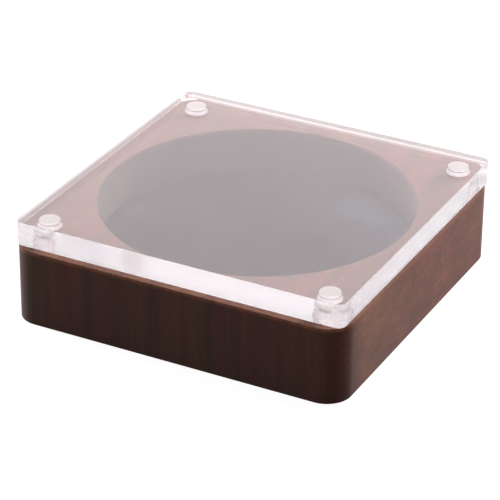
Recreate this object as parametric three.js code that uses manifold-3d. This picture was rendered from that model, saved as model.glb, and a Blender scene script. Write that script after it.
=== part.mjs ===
// A display case for one large coin: a square walnut block with a round recess, closed by a thick
// clear acrylic plate. Small nickel-plated magnets in the plate's corners hold it to matching
// magnets in the block. Millimetres, +Z up, front towards -Y. The origin is the centre of the
// block's underside.

import * as THREE from 'three';
import { mergeVertices } from 'three/addons/utils/BufferGeometryUtils.js';
import Module from 'manifold-3d';

const wasm = await Module();
wasm.setup();

// Walnut block
const blockSide = 89;
const blockHeight = 20;
const blockCornerRadius = 6.5;

// Round recess in the block, and the wood left around and under it
const recessRim = 4.9;
const recessFloor = 6.6;

// Lining disc on the recess floor: a stiff board under a dark pile cloth
const boardThickness = 1.0;
const clothThickness = 0.6;
const liningClearance = 0.3;

// Clear plate. The ledges are the wood left bare beside it when it is centred on the block.
const plateThickness = 6.2;
const plateCornerRadius = 2.1;
const plateSideLedge = 0.6;
const plateFrontLedge = 1.3;

// Magnets, counted in from the plate's edges to their centres
const magnetDiameter = 5;
const plateMagnetHeight = 2;
const blockMagnetHeight = 4;
const magnetInset = 6.25;
const magnetSeatClearance = 0.1;
const magnetFaceGap = 0.2;

// Clear material over a plate magnet, and how much wider the plate's bore is at its mouth than at
// the magnet on every side
const roofOverMagnet = 2.1;
const mouthFlare = 0.5;

// The magnets stand this much behind the middle of the block, and the plate lies where they hold it
const plateSetBack = 0.55;

// Steps around a round edge
const recessSteps = 96;
const magnetSteps = 40;
const cornerSteps = 10;

// Sizes that follow from the ones above
const recessRadius = blockSide / 2 - recessRim;
const liningRadius = recessRadius - liningClearance;
const plateWidth = blockSide - 2 * plateSideLedge;
const plateDepth = blockSide - 2 * plateFrontLedge;
const magnetRadius = magnetDiameter / 2;
const seatRadius = magnetRadius + magnetSeatClearance;
const mouthRadius = seatRadius + mouthFlare;
const boreDepth = plateThickness - roofOverMagnet - plateMagnetHeight;
const blockMagnetProud = boreDepth - magnetFaceGap;
const blockMagnetSeat = blockMagnetHeight - blockMagnetProud;

// Corner names with their signs along X and Y
const corners = [
  { name: 'front_left', x: -1, y: -1 },
  { name: 'front_right', x: 1, y: -1 },
  { name: 'back_right', x: 1, y: 1 },
  { name: 'back_left', x: -1, y: 1 },
];

// Magnet centre in a corner, measured from the middle of the plate
function magnetCentre(corner) {
  return {
    x: corner.x * (plateWidth / 2 - magnetInset),
    y: corner.y * (plateDepth / 2 - magnetInset),
  };
}

// Rectangle with round corners, extruded upwards from z = 0
function roundedPlate(width, depth, radius, height) {
  const x = width / 2;
  const y = depth / 2;
  const shape = new THREE.Shape();
  shape.moveTo(radius - x, -y);
  shape.lineTo(x - radius, -y);
  shape.absarc(x - radius, radius - y, radius, -Math.PI / 2, 0);
  shape.lineTo(x, y - radius);
  shape.absarc(x - radius, y - radius, radius, 0, Math.PI / 2);
  shape.lineTo(radius - x, y);
  shape.absarc(radius - x, y - radius, radius, Math.PI / 2, Math.PI);
  shape.lineTo(-x, radius - y);
  shape.absarc(radius - x, radius - y, radius, Math.PI, Math.PI * 1.5);
  return new THREE.ExtrudeGeometry(shape, {
    depth: height,
    bevelEnabled: false,
    curveSegments: cornerSteps,
  });
}

// Upright disc that stands on z = 0
function disc(radius, height, steps) {
  const geometry = new THREE.CylinderGeometry(radius, radius, height, steps);
  geometry.rotateX(Math.PI / 2);
  geometry.translate(0, 0, height / 2);
  return geometry;
}

function toSolid(geometry) {
  const bare = geometry.clone();
  bare.deleteAttribute('normal');
  bare.deleteAttribute('uv');
  const merged = mergeVertices(bare);
  return new wasm.Manifold(new wasm.Mesh({
    numProp: 3,
    vertProperties: Float32Array.from(merged.attributes.position.array),
    triVerts: Uint32Array.from(merged.index.array),
  }));
}

function toGeometry(solid) {
  const mesh = solid.getMesh();
  const geometry = new THREE.BufferGeometry();
  geometry.setAttribute('position', new THREE.BufferAttribute(mesh.vertProperties, 3));
  geometry.setIndex(new THREE.BufferAttribute(mesh.triVerts, 1));
  geometry.computeVertexNormals();
  return geometry;
}

// Cuts a list of geometries out of a body
function cut(body, cutters) {
  const cutSolid = cutters.reduce(
    (left, cutter) => left.subtract(toSolid(cutter)),
    toSolid(body),
  );
  return toGeometry(cutSolid);
}

function piece(name, geometry, look) {
  const mesh = new THREE.Mesh(geometry, new THREE.MeshStandardMaterial(look));
  mesh.name = name;
  return mesh;
}

const walnut = { color: 0x6b4636, roughness: 0.55, metalness: 0 };
const board = { color: 0x2a2a2c, roughness: 0.9, metalness: 0 };
const pileCloth = { color: 0x121214, roughness: 1, metalness: 0 };
const acrylic = { color: 0xf4f6f8, roughness: 0.03, metalness: 0, transparent: true, opacity: 0.3 };
const nickel = { color: 0xc9c6c1, roughness: 0.2, metalness: 1 };

// Block with its recess and four seats for magnets, open at the top
function walnutBlock() {
  const body = roundedPlate(blockSide, blockSide, blockCornerRadius, blockHeight);
  const recess = disc(recessRadius, blockHeight, recessSteps);
  recess.translate(0, 0, recessFloor);
  const seats = corners.map((corner) => {
    const centre = magnetCentre(corner);
    const seat = disc(seatRadius, blockHeight, magnetSteps);
    seat.translate(centre.x, centre.y + plateSetBack, blockHeight - blockMagnetSeat);
    return seat;
  });
  return piece('walnut_block', cut(body, [recess, ...seats]), walnut);
}

// Plate with a blind bore in each corner, open downwards: its straight end holds the plate's
// magnet, and the flared mouth below guides the plate down over the block's magnet
function clearPlate() {
  const body = roundedPlate(plateWidth, plateDepth, plateCornerRadius, plateThickness);
  const bores = corners.map((corner) => {
    const centre = magnetCentre(corner);
    const bore = new THREE.LatheGeometry([
      new THREE.Vector2(0, -boreDepth),
      new THREE.Vector2(mouthRadius, -boreDepth),
      new THREE.Vector2(mouthRadius, 0),
      new THREE.Vector2(seatRadius, boreDepth),
      new THREE.Vector2(seatRadius, boreDepth + plateMagnetHeight),
      new THREE.Vector2(0, boreDepth + plateMagnetHeight),
    ], magnetSteps);
    bore.rotateX(Math.PI / 2);
    bore.translate(centre.x, centre.y, 0);
    return bore;
  });
  return piece('acrylic_plate', cut(body, bores), acrylic);
}

// One magnet for each corner, its pattern moved back and up
function magnets(prefix, height, back, up) {
  return corners.map((corner) => {
    const centre = magnetCentre(corner);
    const magnet = piece(`${prefix}_${corner.name}`, disc(magnetRadius, height, magnetSteps), nickel);
    magnet.position.set(centre.x, centre.y + back, up);
    return magnet;
  });
}

const liningBoard = piece('lining_board', disc(liningRadius, boardThickness, recessSteps), board);
liningBoard.position.z = recessFloor;

const liningCloth = piece('lining_cloth', disc(liningRadius, clothThickness, recessSteps), pileCloth);
liningCloth.position.z = recessFloor + boardThickness;

const base = new THREE.Group();
base.add(walnutBlock(), liningBoard, liningCloth);
base.add(
  ...magnets('block_magnet', blockMagnetHeight, plateSetBack, blockHeight - blockMagnetSeat),
);

// The lid lies on the block
const lid = new THREE.Group();
lid.add(clearPlate());
lid.add(...magnets('plate_magnet', plateMagnetHeight, 0, boreDepth));
lid.position.set(0, plateSetBack, blockHeight);

const coinDisplayCase = new THREE.Group();
coinDisplayCase.add(base, lid);

export default coinDisplayCase;
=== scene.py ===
import math

import bpy
import numpy as np
from mathutils import Matrix, Vector


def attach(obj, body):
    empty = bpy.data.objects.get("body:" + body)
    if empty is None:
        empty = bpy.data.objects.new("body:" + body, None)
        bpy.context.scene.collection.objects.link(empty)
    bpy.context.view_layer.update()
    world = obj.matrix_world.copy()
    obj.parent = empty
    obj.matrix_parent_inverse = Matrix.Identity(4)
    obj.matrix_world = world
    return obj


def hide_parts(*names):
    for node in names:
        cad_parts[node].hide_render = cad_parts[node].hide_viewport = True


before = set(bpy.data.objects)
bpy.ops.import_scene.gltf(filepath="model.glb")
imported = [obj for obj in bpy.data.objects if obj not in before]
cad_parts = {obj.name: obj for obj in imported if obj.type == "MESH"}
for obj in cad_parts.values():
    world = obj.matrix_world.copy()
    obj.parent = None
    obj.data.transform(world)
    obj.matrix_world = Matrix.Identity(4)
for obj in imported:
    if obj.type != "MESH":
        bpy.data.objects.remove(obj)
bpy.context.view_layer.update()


# Camera. It looks down on the front right corner of the case from about 0.6 m, through a long
# lens, and is rolled by half a degree.
azimuth = 27.312
elevation = 28.206
roll = math.radians(0.547)
distance = 0.62311
shift_right = -0.001728
shift_up = -0.003487
aim_height = 0.01335
focal_length = 180.15
sensor_width = 36.0
nearest_seen = 0.01
furthest_seen = 20.0


def direction(azimuth, elevation):
    """The unit vector towards an azimuth, counted from the front to the right, and an elevation,
    both in degrees: the sine and minus the cosine of the azimuth, times the cosine of the
    elevation, and the sine of the elevation."""
    azimuth, elevation = math.radians(azimuth), math.radians(elevation)
    return Vector((
        math.sin(azimuth) * math.cos(elevation),
        -math.cos(azimuth) * math.cos(elevation),
        math.sin(elevation),
    ))


back = direction(azimuth, elevation)
right = direction(azimuth + 90, 0)
up = back.cross(right)
camera = bpy.data.objects.new("camera", bpy.data.cameras.new("camera"))
camera.data.lens = focal_length
camera.data.sensor_width = sensor_width
camera.data.clip_start = nearest_seen
camera.data.clip_end = furthest_seen
place = Vector((0, 0, aim_height)) + back * distance + right * shift_right + up * shift_up
rolled_right = right * math.cos(roll) + up * math.sin(roll)
rolled_up = up * math.cos(roll) - right * math.sin(roll)
camera.matrix_world = Matrix.Translation(place) @ Matrix(
    (rolled_right, rolled_up, back)
).transposed().to_4x4()
bpy.context.collection.objects.link(camera)
bpy.context.scene.camera = camera
bpy.context.scene.view_settings.view_transform = "Standard"

# Light goes through many faces of the clear plate before it reaches the camera.
most_bounces = 32
most_of_a_kind = 24
bpy.context.scene.cycles.max_bounces = most_bounces
bpy.context.scene.cycles.glossy_bounces = most_of_a_kind
bpy.context.scene.cycles.transmission_bounces = most_of_a_kind


# White studio. A white paper floor in white surroundings. A wide card and a wide lamp behind the
# case and a lamp overhead lie as a light veil on the plate's top. Two cards in front show only in
# edges, bores and magnets, and two side lamps light only what is matt.
room_light = 0.12
floor_half = 1.5
paper_glow = 0.96
watts_per_radiance = 4


def linear(colour):
    """An sRGB colour, written as "#rrggbb", as linear red, green, blue and alpha."""
    parts = np.array([int(colour[i:i + 2], 16) for i in (1, 3, 5)]) / 255
    parts = np.where(parts <= 0.04045, parts / 12.92, ((parts + 0.055) / 1.055) ** 2.4)
    return (*parts.tolist(), 1.0)


def add(tree, kind, inputs=(), **settings):
    """Adds a node with its settings. Each input takes a value, or the output of another node."""
    node = tree.nodes.new("ShaderNode" + kind)
    for name, value in settings.items():
        setattr(node, name, value)
    for name, value in dict(inputs).items():
        if isinstance(value, bpy.types.NodeSocket):
            tree.links.new(value, node.inputs[name])
        else:
            node.inputs[name].default_value = value
    return node


def material(name):
    """A new material with nothing in its tree but the output node."""
    new = bpy.data.materials.new(name)
    new.use_nodes = True
    new.node_tree.nodes.clear()
    return new, new.node_tree, add(new.node_tree, "OutputMaterial")


def seen_as_white(tree):
    """One for a ray that came straight from the camera, or only by way of mirrors and clear
    plate, and zero for one that has met a matt surface."""
    path = add(tree, "LightPath")
    kind = path.outputs["Is Camera Ray"]
    for ray in ("Is Glossy Ray", "Is Transmission Ray"):
        kind = add(tree, "Math", {0: kind, 1: path.outputs[ray]}, operation="MAXIMUM").outputs[0]
    first = add(tree, "Math", {0: path.outputs["Diffuse Depth"], 1: 0.5}, operation="LESS_THAN")
    return add(tree, "Math", {0: kind, 1: first.outputs[0]}, operation="MULTIPLY").outputs[0]


world = bpy.data.worlds.new("white studio")
world.use_nodes = True
world.node_tree.nodes.clear()
tree = world.node_tree
strength = add(tree, "MapRange", {"Value": seen_as_white(tree), "To Min": room_light,
                                  "To Max": 1.0})
glow = add(tree, "Background", {"Color": linear("#ffffff"), "Strength": strength.outputs[0]})
add(tree, "OutputWorld", {"Surface": glow.outputs[0]})
bpy.context.scene.world = world

# The eye sees the paper pure white, with its shadow all but faded. What is matt is lit by a
# greyer paper, as in a studio where the light is kept off the floor.
paper, tree, output = material("white paper, matt")
lit = add(tree, "BsdfDiffuse", {"Color": linear("#b0b0b0")})
shaded = add(tree, "BsdfDiffuse", {"Color": linear("#808080")})
glow = add(tree, "Emission", {"Color": linear("#ffffff"), "Strength": paper_glow})
bright = add(tree, "AddShader", {0: shaded.outputs[0], 1: glow.outputs[0]})
surface = add(tree, "MixShader", {0: seen_as_white(tree), 1: lit.outputs[0],
                                  2: bright.outputs[0]})
tree.links.new(surface.outputs[0], output.inputs["Surface"])

floor_mesh = bpy.data.meshes.new("floor")
floor_mesh.from_pydata(
    [(-floor_half, -floor_half, 0), (floor_half, -floor_half, 0),
     (floor_half, floor_half, 0), (-floor_half, floor_half, 0)],
    [], [(0, 1, 2, 3)])
floor_mesh.materials.append(paper)
floor = bpy.data.objects.new("floor", floor_mesh)
bpy.context.collection.objects.link(floor)


def soft_lamp(name, azimuth, elevation, reach, width, height, radiance, colour="#ffffff",
              hidden_from=()):
    """A rectangular lamp that faces the case from the given direction and distance, and that
    rays of the named kinds don't see."""
    light = bpy.data.lights.new(name, "AREA")
    light.color = linear(colour)[:3]
    light.shape = "RECTANGLE"
    light.size = width
    light.size_y = height
    light.energy = radiance * watts_per_radiance * width * height
    lamp = bpy.data.objects.new(name, light)
    way = direction(azimuth, elevation)
    lamp.location = way * reach
    lamp.rotation_mode = "QUATERNION"
    lamp.rotation_quaternion = way.to_track_quat("Z", "Y")
    for kind in hidden_from:
        setattr(lamp, "visible_" + kind, False)
    bpy.context.collection.objects.link(lamp)


soft_lamp("back card", 187.0, 35.0, 1.3, 2.6, 1.3, 0.27, "#ffeaf1")
soft_lamp("back lamp", 200.0, 35.0, 1.3, 2.4, 1.3, 0.95, "#ffeaf1", ["transmission"])
soft_lamp("top lamp", 190.0, 72.0, 1.4, 0.9, 0.8, 1.6)
soft_lamp("front card", -27.0, 28.0, 1.3, 1.0, 0.8, 0.6, hidden_from=["diffuse"])
soft_lamp("high card", 27.0, 50.0, 1.3, 1.6, 1.0, 2.1, hidden_from=["diffuse", "transmission"])
soft_lamp("right lamp", 165.0, 25.0, 1.3, 0.6, 0.5, 22.0, hidden_from=["glossy", "transmission"])
soft_lamp("left lamp", -101.0, 10.0, 1.3, 0.5, 0.4, 28.0, hidden_from=["glossy", "transmission"])


# Walnut block. One piece of solid black walnut, milled square with round upright corners, with a
# round recess bored from the top, sanded and oiled. Its grain runs from front to back. From here
# on sizes are in millimetres, and mm turns them to metres.
mm = 0.001
block_side = 89.0
block_height = 20.0
block_corner = 6.5
block_edge = 0.18
recess_radius = 39.6
recess_floor = 6.6
recess_edge = 0.2

# A second row of points this far from each edge keeps the shading of flat faces flat, and edges
# sharper than this angle aren't shaded across.
support = 0.04
sharp_angle = math.radians(40)


def rounded_outline(width, depth, radius, corner_steps=14, side_steps=24):
    """A rectangle with round corners, counter-clockwise, and its outward normals. Each corner is
    its centre plus the radius along an angle that sweeps a quarter turn, and each side is a
    straight blend from the end of one corner to the start of the next."""
    turn = np.linspace(0, np.pi / 2, corner_steps + 1)
    along = np.linspace(0, 1, side_steps + 1)[1:-1]
    near = support / (width - 2 * radius)
    along = np.concatenate([[near], along, [1 - near]])[:, None]
    corners, normals = [], []
    for quarter, (x, y) in enumerate([(1, 1), (-1, 1), (-1, -1), (1, -1)]):
        angle = turn + quarter * np.pi / 2
        normal = np.stack([np.cos(angle), np.sin(angle)], axis=1)
        centre = np.array([x * (width / 2 - radius), y * (depth / 2 - radius)])
        corners.append(centre + radius * normal)
        normals.append(normal)
    points, outward = [], []
    for quarter in range(4):
        here, following = corners[quarter], corners[(quarter + 1) % 4]
        side = here[-1] * (1 - along) + following[0] * along
        points += [here, side]
        outward += [normals[quarter], np.repeat(normals[quarter][-1:], len(side), axis=0)]
    return np.concatenate(points), np.concatenate(outward)


def edge_arc(radius, start, end, steps=5):
    """Part of a circle between two angles in degrees, as distances in from its outermost point,
    the radius times one less the cosine, and up from its lowest, the radius times one plus the
    sine."""
    angle = np.radians(np.linspace(start, end, steps + 1))
    return np.stack([radius * (1 - np.cos(angle)), radius * (1 + np.sin(angle))], axis=1)


def outline_rings(points, normals, profile):
    """Carries a profile round an outline. The profile's first number moves each point of the
    outline in along its own normal, and the second is the height."""
    inset, height = profile[:, 0, None, None], profile[:, 1, None, None]
    flat = points[None] - inset * normals[None]
    return np.concatenate([flat, np.broadcast_to(height, flat.shape[:2] + (1,))], axis=2)


def round_rings(profile, angles, centre=(0.0, 0.0)):
    """Turns a profile of radii and heights about an upright axis through the centre: each point
    is the centre plus the radius times the cosine and the sine of the angle, at its height."""
    radius, height = profile[:, 0, None], profile[:, 1, None]
    return np.stack([
        centre[0] + radius * np.cos(angles),
        centre[1] + radius * np.sin(angles),
        np.broadcast_to(height, (len(profile), len(angles))),
    ], axis=2)


def solid(name, rings, look, body, replaced=(), flat_ends=False):
    """Joins each ring of points to the next by four-sided faces, closes the two ends by fans
    round their middles or by flat faces, and puts the closed skin in the scene in metres."""
    count, around = rings.shape[:2]
    index = np.arange(count * around).reshape(count, around)
    following = np.roll(index, -1, axis=1)
    sides = np.stack([index[:-1], following[:-1], following[1:], index[1:]], axis=2)
    points = rings.reshape(-1, 3)
    faces = sides.reshape(-1, 4).tolist()
    if flat_ends:
        faces += [index[0, ::-1].tolist(), index[-1].tolist()]
    else:
        middles = np.array([rings[0].mean(axis=0), rings[-1].mean(axis=0)])
        first, last = len(points), len(points) + 1
        points = np.concatenate([points, middles])
        faces += np.stack([following[0], index[0], np.full(around, first)], axis=1).tolist()
        faces += np.stack([index[-1], following[-1], np.full(around, last)], axis=1).tolist()
    mesh = bpy.data.meshes.new(name)
    mesh.from_pydata((points * mm).tolist(), [], faces)
    mesh.shade_smooth()
    mesh.set_sharp_from_angle(angle=sharp_angle)
    mesh.materials.append(look)
    piece = bpy.data.objects.new(name, mesh)
    bpy.context.collection.objects.link(piece)
    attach(piece, body)
    if replaced:
        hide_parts(*replaced)
    return piece


def grain(tree, place, widths, detail, low, high):
    """Noise stretched to the given widths in millimetres along X, Y and Z, with what lies
    between low and high spread to run from zero to one."""
    stretched = add(tree, "VectorMath", {
        0: place.outputs[0], 1: tuple(1 / width for width in widths),
    }, operation="MULTIPLY")
    noise = add(tree, "TexNoise", {"Vector": stretched.outputs[0], "Scale": 1.0, "Detail": detail})
    return add(tree, "MapRange", {"Value": noise.outputs[0], "From Min": low,
                                  "From Max": high}).outputs[0]


def shade(tree, colour, share, low, high):
    """Multiplies a colour by a blend of two others, all the way from low to high."""
    blend = add(tree, "Mix", {0: share, 6: linear(low), 7: linear(high)}, data_type="RGBA")
    return add(tree, "Mix", {0: 1.0, 6: colour, 7: blend.outputs[2]}, data_type="RGBA",
               blend_type="MULTIPLY").outputs[2]


# What the oiled wood gives the eye: growth rings as dark and light bands that sway by up to 4 mm
# and drift from red to yellow brown, fine fibres, and short dark pores. Walnut's fibres and pores
# are 0.02 to 0.2 mm wide, too fine to show, so both are drawn several times as wide.
walnut, tree, output = material("black walnut, sanded and oiled")
place_in_wood = add(tree, "TexCoord").outputs["Object"]
millimetres = add(tree, "VectorMath", {0: place_in_wood, "Scale": 1 / mm}, operation="SCALE")
sway = add(tree, "TexNoise", {"Vector": millimetres.outputs[0], "Scale": 0.03, "Detail": 2.0})
swayed = add(tree, "VectorMath", {0: sway.outputs["Color"], 1: (4.0, 0.0, 0.0),
                                  2: millimetres.outputs[0]}, operation="MULTIPLY_ADD")
growth = grain(tree, swayed, (2.6, 120.0, 60.0), detail=3.0, low=0.3, high=0.7)
tone = grain(tree, swayed, (3.2, 100.0, 60.0), detail=2.0, low=0.38, high=0.62)
fibres = grain(tree, millimetres, (0.45, 9.0, 0.5), detail=2.0, low=0.3, high=0.7)
pores = grain(tree, millimetres, (0.35, 0.8, 0.35), detail=1.0, low=0.6, high=0.8)
wood = add(tree, "Mix", {0: growth, 6: linear("#673b2f"), 7: linear("#9d614c")},
           data_type="RGBA").outputs[2]
wood = shade(tree, wood, tone, "#ffdfe8", "#f2f8cc")
wood = shade(tree, wood, fibres, "#e0e0e0", "#ffffff")

# The sides along the grain are specked and clouded, where the oil took unevenly. End grain, in
# front and behind, soaks up more oil: it is dark all over. The near round corner is painted dark
# as well, a painted shade on faces that turn to the right, full 41 mm in front of the middle and
# gone at 30 mm.
facing = add(tree, "SeparateXYZ", {0: add(tree, "NewGeometry").outputs["Normal"]})
place_in_block = add(tree, "SeparateXYZ", {0: millimetres.outputs[0]})
end_grain = add(tree, "Math", {0: facing.outputs["Y"]}, operation="ABSOLUTE").outputs[0]
end_grain = add(tree, "MapRange", {"Value": end_grain, "From Min": 0.05, "From Max": 0.35},
                interpolation_type="SMOOTHSTEP").outputs[0]
mottle = grain(tree, millimetres, (0.6, 1.1, 0.6), detail=3.0, low=0.35, high=0.65)
specked = add(tree, "Math", {0: mottle, 1: end_grain}, operation="MAXIMUM").outputs[0]
wood = shade(tree, wood, specked, "#d8d2ce", "#ffffff")
cloud = grain(tree, millimetres, (3.5, 7.0, 3.5), detail=3.0, low=0.35, high=0.65)
clouded = add(tree, "Math", {0: cloud, 1: end_grain}, operation="MAXIMUM").outputs[0]
wood = shade(tree, wood, clouded, "#dcd8d8", "#ffffff")
# Painted shade: the near round corner darkens towards the front on faces that turn to the right.
towards_front = add(tree, "MapRange", {
    "Value": place_in_block.outputs["Y"], "From Min": -30.0, "From Max": -41.0,
}, interpolation_type="SMOOTHSTEP").outputs[0]
painted_corner_shade = add(tree, "Math", {0: towards_front, 1: facing.outputs["X"]},
                   operation="MULTIPLY").outputs[0]
end_grain_and_painted_shade = add(tree, "Math", {0: end_grain, 1: painted_corner_shade}, operation="MAXIMUM").outputs[0]
wood = shade(tree, wood, end_grain_and_painted_shade, "#ffffff", "#988e90")

# The top arris and the bare ledge in front of the plate are painted paler, a painted highlight
# where they catch the light from above, in patches about 2 mm wide. The arris fades in between
# two heights, and the ledge starts at the block's front.
arris_bottom = 18.9
arris_top = 19.7
ledge_depth = 1.9
painted_highlight = add(tree, "MapRange", {"Value": place_in_block.outputs["Z"], "From Min": arris_bottom,
                               "From Max": arris_top}).outputs[0]
upright = add(tree, "Math", {0: 1.0, 1: facing.outputs["Z"]}, operation="SUBTRACT").outputs[0]
painted_highlight = add(tree, "Math", {0: painted_highlight, 1: upright}, operation="MULTIPLY").outputs[0]
bare = add(tree, "Math", {0: place_in_block.outputs["Y"], 1: ledge_depth - block_side / 2},
           operation="LESS_THAN").outputs[0]
bare = add(tree, "Math", {0: bare, 1: facing.outputs["Z"]}, operation="MULTIPLY").outputs[0]
painted_highlight = add(tree, "Math", {0: painted_highlight, 1: bare}, operation="MAXIMUM").outputs[0]
highlight_patches = grain(tree, millimetres, (2.0, 2.0, 2.0), detail=2.0, low=0.05, high=0.9)
painted_highlight = add(tree, "Math", {0: painted_highlight, 1: highlight_patches}, operation="MULTIPLY").outputs[0]
stronger_at_ends = add(tree, "Math", {0: end_grain, 1: 0.25, 2: 0.35}, operation="MULTIPLY_ADD")
painted_highlight = add(tree, "Math", {0: painted_highlight, 1: stronger_at_ends.outputs[0]},
            operation="MULTIPLY").outputs[0]
# Painted highlight: the arris and the ledge are mixed towards a pale orange brown.
wood = add(tree, "Mix", {0: painted_highlight, 6: wood, 7: linear("#ce7e58")}, data_type="RGBA").outputs[2]

# What faces up is a little greyer. The bored wall, told from the top by its distance from the
# middle, is painted paler, a painted light that lifts the shade in the recess. Towards the back
# right it is palest, painted light as well, and towards the front left it is a duller brown.
wall_limit = recess_radius + 0.05
wall_light_share = 0.17
upward = add(tree, "Math", {0: facing.outputs["Z"], 1: 0.25}, operation="MULTIPLY",
             use_clamp=True).outputs[0]
wood = add(tree, "Mix", {0: upward, 6: wood, 7: linear("#a2948a")}, data_type="RGBA").outputs[2]
from_middle = add(tree, "VectorMath", {0: millimetres.outputs[0], 1: (1.0, 1.0, 0.0)},
                  operation="MULTIPLY")
from_middle = add(tree, "VectorMath", {0: from_middle.outputs[0]}, operation="LENGTH")
bored = add(tree, "MapRange", {
    "Value": from_middle.outputs["Value"], "From Min": wall_limit + 0.01,
    "From Max": wall_limit, "To Max": wall_light_share,
}).outputs[0]
wood = add(tree, "Mix", {0: bored, 6: wood, 7: linear("#a89e99")}, data_type="RGBA").outputs[2]
to_back_right = add(tree, "VectorMath", {0: millimetres.outputs[0], 1: (0.89, 0.46, 0.0)},
                    operation="DOT_PRODUCT").outputs["Value"]
# Painted light on the wall: palest towards the back right; towards the front left a duller brown.
for full_at, times, colour in [
    (recess_radius / 2, 0.8, "#c0c4c8"), (-recess_radius, 1.8, "#648484"),
]:
    wall_mix_towards = add(tree, "MapRange", {"Value": to_back_right, "From Max": full_at, "To Max": times})
    wall_mix_towards = add(tree, "Math", {0: wall_mix_towards.outputs[0], 1: bored}, operation="MULTIPLY").outputs[0]
    wood = add(tree, "Mix", {0: wall_mix_towards, 6: wood, 7: linear(colour)}, data_type="RGBA").outputs[2]

# Oil leaves a soft sheen, which is half as strong on the near round corner.
pored = add(tree, "Mix", {0: pores, 6: wood, 7: linear("#2a1a14")}, data_type="RGBA").outputs[2]
sheen = add(tree, "MapRange", {"Value": painted_corner_shade, "To Min": 0.14, "To Max": 0.07})
shader = add(tree, "BsdfPrincipled", {
    "Base Color": pored,
    "Roughness": 0.42,
    "Specular IOR Level": sheen.outputs[0],
})
tree.links.new(shader.outputs[0], output.inputs["Surface"])

outline, outward = rounded_outline(block_side, block_side, block_corner)
outer = np.concatenate([
    [[block_edge + support, 0]],
    edge_arc(block_edge, -90, 0),
    [[0, block_edge + support], [0, block_height - block_edge - support]],
    edge_arc(block_edge, 0, 90) + [0, block_height - 2 * block_edge],
    [[block_edge + support, block_height]],
])
lip = edge_arc(recess_edge, 90, 0)
lip = np.stack([recess_radius + lip[:, 0], block_height - 2 * recess_edge + lip[:, 1]], axis=1)
inner = np.concatenate([
    [[recess_radius + recess_edge + support, block_height]],
    lip,
    [[recess_radius, block_height - recess_edge - support], [recess_radius, recess_floor]],
])
bearing = np.arctan2(outline[:, 1], outline[:, 0])
solid(
    "walnut_block_body",
    np.concatenate([outline_rings(outline, outward, outer), round_rings(inner, bearing)]),
    walnut, "base", ["walnut_block"],
)


# Lining. A disc of stiff board covered with short black pile cloth that is turned down over its
# edge and glued. It lies loose on the recess floor.
lining_radius = 39.55
cloth_top = 8.2
cloth_edge = 0.15
lining_steps = 192

# What the pile gives the eye: a near black that is brushed paler in patches about 18 mm wide.
# It is laid over in a few ovals, where it looks grey, and their borders wander by several
# millimetres. Towards the back it is painted grey as well, a painted light. Tufts are 0.1 mm
# wide, too fine to show, and drawn at 0.4 mm.
wander = 9.0
cloth, tree, output = material("black flocked cloth, short pile")
place_on_cloth = add(tree, "TexCoord").outputs["Object"]
brushed = add(tree, "TexNoise", {"Vector": place_on_cloth, "Scale": 55.0, "Detail": 5.0,
                                 "Roughness": 0.6, "Distortion": 0.5})
brushed = add(tree, "MapRange", {"Value": brushed.outputs[0], "From Min": 0.36, "From Max": 0.74})
pile_colour = add(tree, "Mix", {0: brushed.outputs[0], 6: linear("#090a0c"),
                                7: linear("#283034")}, data_type="RGBA").outputs[2]
cloth_mm = add(tree, "VectorMath", {0: place_on_cloth, "Scale": 1 / mm}, operation="SCALE")
uneven = add(tree, "TexNoise", {"Vector": place_on_cloth, "Scale": 90.0, "Detail": 3.0})
uneven = add(tree, "VectorMath", {0: uneven.outputs["Color"], 1: (wander, wander, 0.0),
                                  2: cloth_mm.outputs[0]}, operation="MULTIPLY_ADD")


def laid_over(tree, x, y, width, depth, height):
    """One at the middle of an oval on the cloth, falling smoothly to zero at its border, times
    the height."""
    offset = add(tree, "VectorMath", {
        0: uneven.outputs[0], 1: (x + wander / 2, y + wander / 2, 0.0),
    }, operation="SUBTRACT")
    scaled = add(tree, "VectorMath", {0: offset.outputs[0], 1: (1 / width, 1 / depth, 0.0)},
                 operation="MULTIPLY")
    away = add(tree, "VectorMath", {0: scaled.outputs[0]}, operation="LENGTH")
    return add(tree, "MapRange", {"Value": away.outputs["Value"], "From Min": 1.0,
                                  "From Max": 0.0, "To Max": height},
               interpolation_type="SMOOTHSTEP").outputs[0]


# Painted light: the cloth turns grey towards the back.
to_the_back = add(tree, "VectorMath", {0: cloth_mm.outputs[0], 1: (0.5, 0.86, 0.0)},
                  operation="DOT_PRODUCT")
pile_and_painted_light = add(tree, "MapRange", {"Value": to_the_back.outputs["Value"], "From Min": 14.0,
                                 "From Max": 35.0, "To Max": 0.75}).outputs[0]
for x, y, width, depth, height in [
    (17.0, 28.0, 12.0, 9.0, 0.6), (-34.0, 1.0, 6.0, 6.0, 0.3), (-12.0, 4.0, 11.0, 9.0, 0.1),
]:
    oval = laid_over(tree, x, y, width, depth, height)
    pile_and_painted_light = add(tree, "Math", {0: pile_and_painted_light, 1: oval}, operation="ADD", use_clamp=True).outputs[0]
pile_colour = add(tree, "Mix", {0: pile_and_painted_light, 6: pile_colour, 7: linear("#606c74")},
                  data_type="RGBA").outputs[2]
tufts = add(tree, "TexNoise", {"Vector": place_on_cloth, "Scale": 2600.0})
pile_bump = add(tree, "Bump", {"Height": tufts.outputs[0], "Strength": 0.1, "Distance": 0.0002})
shader = add(tree, "BsdfPrincipled", {
    "Base Color": pile_colour,
    "Roughness": 1.0,
    "Specular IOR Level": 0.1,
    "Normal": pile_bump.outputs[0],
})
tree.links.new(shader.outputs[0], output.inputs["Surface"])

circle = np.linspace(0, 2 * np.pi, lining_steps, endpoint=False)
turned_down = edge_arc(cloth_edge, 0, 90)
turned_down = np.stack([lining_radius - turned_down[:, 0],
                        cloth_top - 2 * cloth_edge + turned_down[:, 1]], axis=1)
lining = solid(
    "lining_disc",
    round_rings(np.concatenate([
        [[lining_radius - support, recess_floor], [lining_radius, recess_floor + support]],
        turned_down,
        [[lining_radius - cloth_edge - support, cloth_top]],
    ]), circle),
    cloth, "base", ["lining_cloth", "lining_board"],
)


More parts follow.
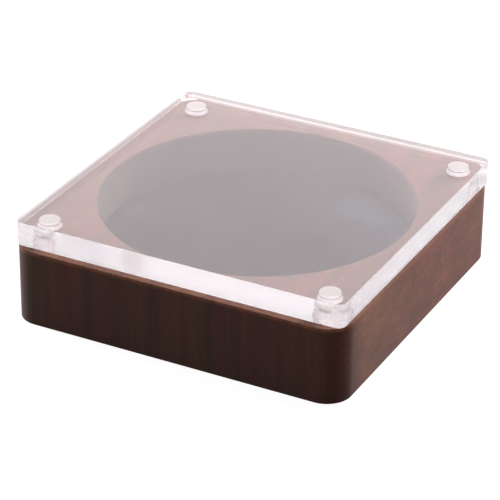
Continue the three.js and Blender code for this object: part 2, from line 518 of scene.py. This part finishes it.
# Clear plate. Cast acrylic sheet sawn to size, with its back and left edges rougher than the
# others. Each corner has a blind bore from below, with a flared mouth and then a straight end that
# holds a magnet and is clear where glue has wetted its wall.
plate_width = 87.8
plate_depth = 86.4
plate_corner = 2.1
plate_edge = 0.15
plate_set_back = 0.55
plate_lift = 0.02
plate_bottom = block_height + plate_lift
plate_top = 26.2
magnet_inset = 6.25
seat_radius = 2.6
mouth_radius = 3.1
mouth_top = 22.1
seat_top = 24.1
glued_band = 0.7
drill_start = block_height - 1.0
bore_steps = 64
saw_mark = 22.35
saw_reach = 1.35
frost_bottom = 23.2
haze_tint = "#fffafb"
plate_sharp_angle = math.radians(30)


# What the acrylic gives the eye: a polished top that mirrors like glass, and edges that a blade or
# a drill has crazed too finely to show as scratches, so they are drawn as a haze.
def clear_acrylic(name, roughness, haze=0.0, tint="#fbf9fb", passed=0.5, band=0.0, frost=0.0,
                  frost_tint=haze_tint):
    """Acrylic with the given surface. Haze is the share of light that the surface scatters to
    both sides all over, and passed is how much of that goes inwards. Band is how much more it
    scatters along the saw mark, and frost how much more, in its own tint, at the plate's top.
    Shadows pass straight through it."""
    look, tree, output = material(name)
    shader = add(tree, "BsdfPrincipled", {
        "Base Color": linear(tint),
        "Roughness": roughness,
        "IOR": 1.49,
        "Transmission Weight": 1.0,
    })
    place_in_plate = add(tree, "TexCoord").outputs["Object"]
    height = add(tree, "SeparateXYZ", {0: place_in_plate}).outputs["Z"]
    away = add(tree, "Math", {0: height, 1: -saw_mark * mm}, operation="ADD")
    away = add(tree, "Math", {0: away.outputs[0]}, operation="ABSOLUTE")
    marked = add(tree, "MapRange", {
        "Value": away.outputs[0], "From Max": saw_reach * mm,
        "To Min": haze + band, "To Max": haze,
    })
    frosted = add(tree, "MapRange", {
        "Value": height, "From Min": frost_bottom * mm, "From Max": plate_top * mm,
    })
    share = add(tree, "Math", {0: frosted.outputs[0], 1: frost, 2: marked.outputs[0]},
                operation="MULTIPLY_ADD")
    milky = add(tree, "Mix", {0: frosted.outputs[0], 6: linear(haze_tint),
                              7: linear(frost_tint)}, data_type="RGBA")
    turned_back = add(tree, "BsdfAnisotropic", {"Color": milky.outputs[2], "Roughness": 0.9})
    let_through = add(tree, "BsdfTranslucent", {"Color": milky.outputs[2]})
    crazed = add(tree, "MixShader", {0: passed, 1: turned_back.outputs[0],
                                     2: let_through.outputs[0]})
    hazy = add(tree, "MixShader", {0: share.outputs[0], 1: shader.outputs[0],
                                   2: crazed.outputs[0]})
    through = add(tree, "BsdfTransparent", {"Color": linear("#f4f2f4")})
    path = add(tree, "LightPath")
    mixed = add(tree, "MixShader", {0: path.outputs["Is Shadow Ray"], 1: hazy.outputs[0],
                                    2: through.outputs[0]})
    tree.links.new(mixed.outputs[0], output.inputs["Surface"])
    return look


polished = clear_acrylic("clear cast acrylic, polished", roughness=0.0)
# The grey tints of the cut, sawn and rubbed edges are painted shade: they dim what is seen through
# the edges, a little at the front and right, more at the back and most on the left.
cut_edge = clear_acrylic("clear cast acrylic, cut edge", roughness=0.25, haze=0.13,
                         tint="#dedcdd", passed=0.35)
drilled = clear_acrylic("clear cast acrylic, drilled wall", roughness=0.4, haze=0.9, passed=0.15)
roof = clear_acrylic("clear cast acrylic, drilled roof", roughness=0.4)
sawn_edge = clear_acrylic("clear cast acrylic, sawn edge", roughness=0.3, haze=0.05,
                          tint="#bcb8bc", band=0.35, frost=0.14, frost_tint="#c4d0da")
rubbed_edge = clear_acrylic("clear cast acrylic, rubbed edge", roughness=0.3, tint="#a4a0a4",
                            frost=0.7, frost_tint="#c4d0da")

outline, outward = rounded_outline(plate_width, plate_depth, plate_corner)
outline = outline + [0, plate_set_back]
profile = np.concatenate([
    [[plate_edge + support, plate_bottom]],
    edge_arc(plate_edge, -90, 0) + [0, plate_bottom],
    [[0, plate_bottom + plate_edge + support], [0, plate_top - plate_edge - support]],
    edge_arc(plate_edge, 0, 90) + [0, plate_top - 2 * plate_edge],
    [[plate_edge + support, plate_top]],
])
plate = solid("clear_plate", outline_rings(outline, outward, profile), polished, "lid",
              ["acrylic_plate"], flat_ends=True)

magnet_right = plate_width / 2 - magnet_inset
magnet_back = plate_depth / 2 - magnet_inset
magnet_centres = {
    "front_left": (-magnet_right, plate_set_back - magnet_back),
    "front_right": (magnet_right, plate_set_back - magnet_back),
    "back_right": (magnet_right, plate_set_back + magnet_back),
    "back_left": (-magnet_right, plate_set_back + magnet_back),
}
bore_circle = np.linspace(0, 2 * np.pi, bore_steps, endpoint=False)
bore_profile = np.array([
    [mouth_radius, drill_start], [mouth_radius, plate_bottom],
    [seat_radius, mouth_top], [seat_radius, mouth_top + glued_band], [seat_radius, seat_top],
])
bores = []
for name, centre in magnet_centres.items():
    rings = round_rings(bore_profile, bore_circle, centre)
    bore = solid("bore_" + name, rings, polished, "lid", flat_ends=True)
    drill = plate.modifiers.new(name, "BOOLEAN")
    drill.object = bore
    drill.solver = "EXACT"
    bores.append(bore)
bored_plate = plate.evaluated_get(bpy.context.evaluated_depsgraph_get())
plate.data = bpy.data.meshes.new_from_object(bored_plate)
plate.modifiers.clear()
for bore in bores:
    bpy.data.objects.remove(bore)
plate.data.shade_smooth()
plate.data.set_sharp_from_angle(angle=plate_sharp_angle)

# Each face gets its own finish, by where its middle lies and which way it faces. The glued band
# of a bore's wall is as clear as its roof.
edge_reach = 1.0
tolerance = 0.01
level_from = 0.5
square_from = 0.8
centres = np.empty(len(plate.data.polygons) * 3)
plate.data.polygons.foreach_get("center", centres)
centres = centres.reshape(-1, 3) / mm - [0, plate_set_back, 0]
normals = np.empty(len(plate.data.polygons) * 3)
plate.data.polygons.foreach_get("normal", normals)
normals = normals.reshape(-1, 3)
past_edge = np.maximum(abs(centres[:, 0]) - plate_width / 2, abs(centres[:, 1]) - plate_depth / 2)
is_level = abs(normals[:, 2]) > level_from
is_side = (past_edge > -edge_reach) & ~is_level
is_inside = (centres[:, 2] > plate_bottom + tolerance) & (centres[:, 2] < plate_top - tolerance)
is_bore = (past_edge < -edge_reach) & is_inside
is_glued = abs(centres[:, 2] - mouth_top - glued_band / 2) < glued_band / 4
finish = np.zeros(len(centres), dtype=np.int32)
for number, (look, chosen) in enumerate([
    (cut_edge, is_side),
    (drilled, is_bore),
    (roof, is_bore & (is_level | is_glued)),
    (sawn_edge, is_side & (normals[:, 1] > square_from)),
    (rubbed_edge, is_side & (normals[:, 0] < -square_from)),
], start=1):
    plate.data.materials.append(look)
    finish[chosen] = number
plate.data.polygons.foreach_set("material_index", finish)


# Magnets. Eight nickel-plated discs. Four are glued in the tops of the plate's bores, and four
# taller ones stand in the block and reach up into the mouths of the bores.
magnet_radius = 2.5
magnet_edge = 0.2
plate_magnet_height = 2.0
plate_magnet_gap = 0.03
block_magnet_height = 4.0
block_magnet_top = 21.9

# What the plating gives the eye: a bright, slightly warm metal with a soft, blurred mirror.
nickel, tree, output = material("nickel plate, bright")
shader = add(tree, "BsdfPrincipled", {
    "Base Color": linear("#c8c4be"),
    "Metallic": 1.0,
    "Roughness": 0.3,
})
tree.links.new(shader.outputs[0], output.inputs["Surface"])


def magnet_disc(name, centre, bottom, top, body, replaced):
    """A disc with rounded edges, turned about its own upright axis."""
    sides = np.concatenate([
        [[magnet_edge + support, bottom]],
        edge_arc(magnet_edge, -90, 0) + [0, bottom],
        [[0, bottom + magnet_edge + support], [0, top - magnet_edge - support]],
        edge_arc(magnet_edge, 0, 90) + [0, top - 2 * magnet_edge],
        [[magnet_edge + support, top]],
    ])
    sides[:, 0] = magnet_radius - sides[:, 0]
    solid(name, round_rings(sides, bore_circle, centre), nickel, body, [replaced])


for name, centre in magnet_centres.items():
    magnet_disc("plate_magnet_disc_" + name, centre, seat_top - plate_magnet_height,
                seat_top - plate_magnet_gap, "lid", "plate_magnet_" + name)
    magnet_disc("block_magnet_disc_" + name, centre, block_magnet_top - block_magnet_height,
                block_magnet_top, "base", "block_magnet_" + name)
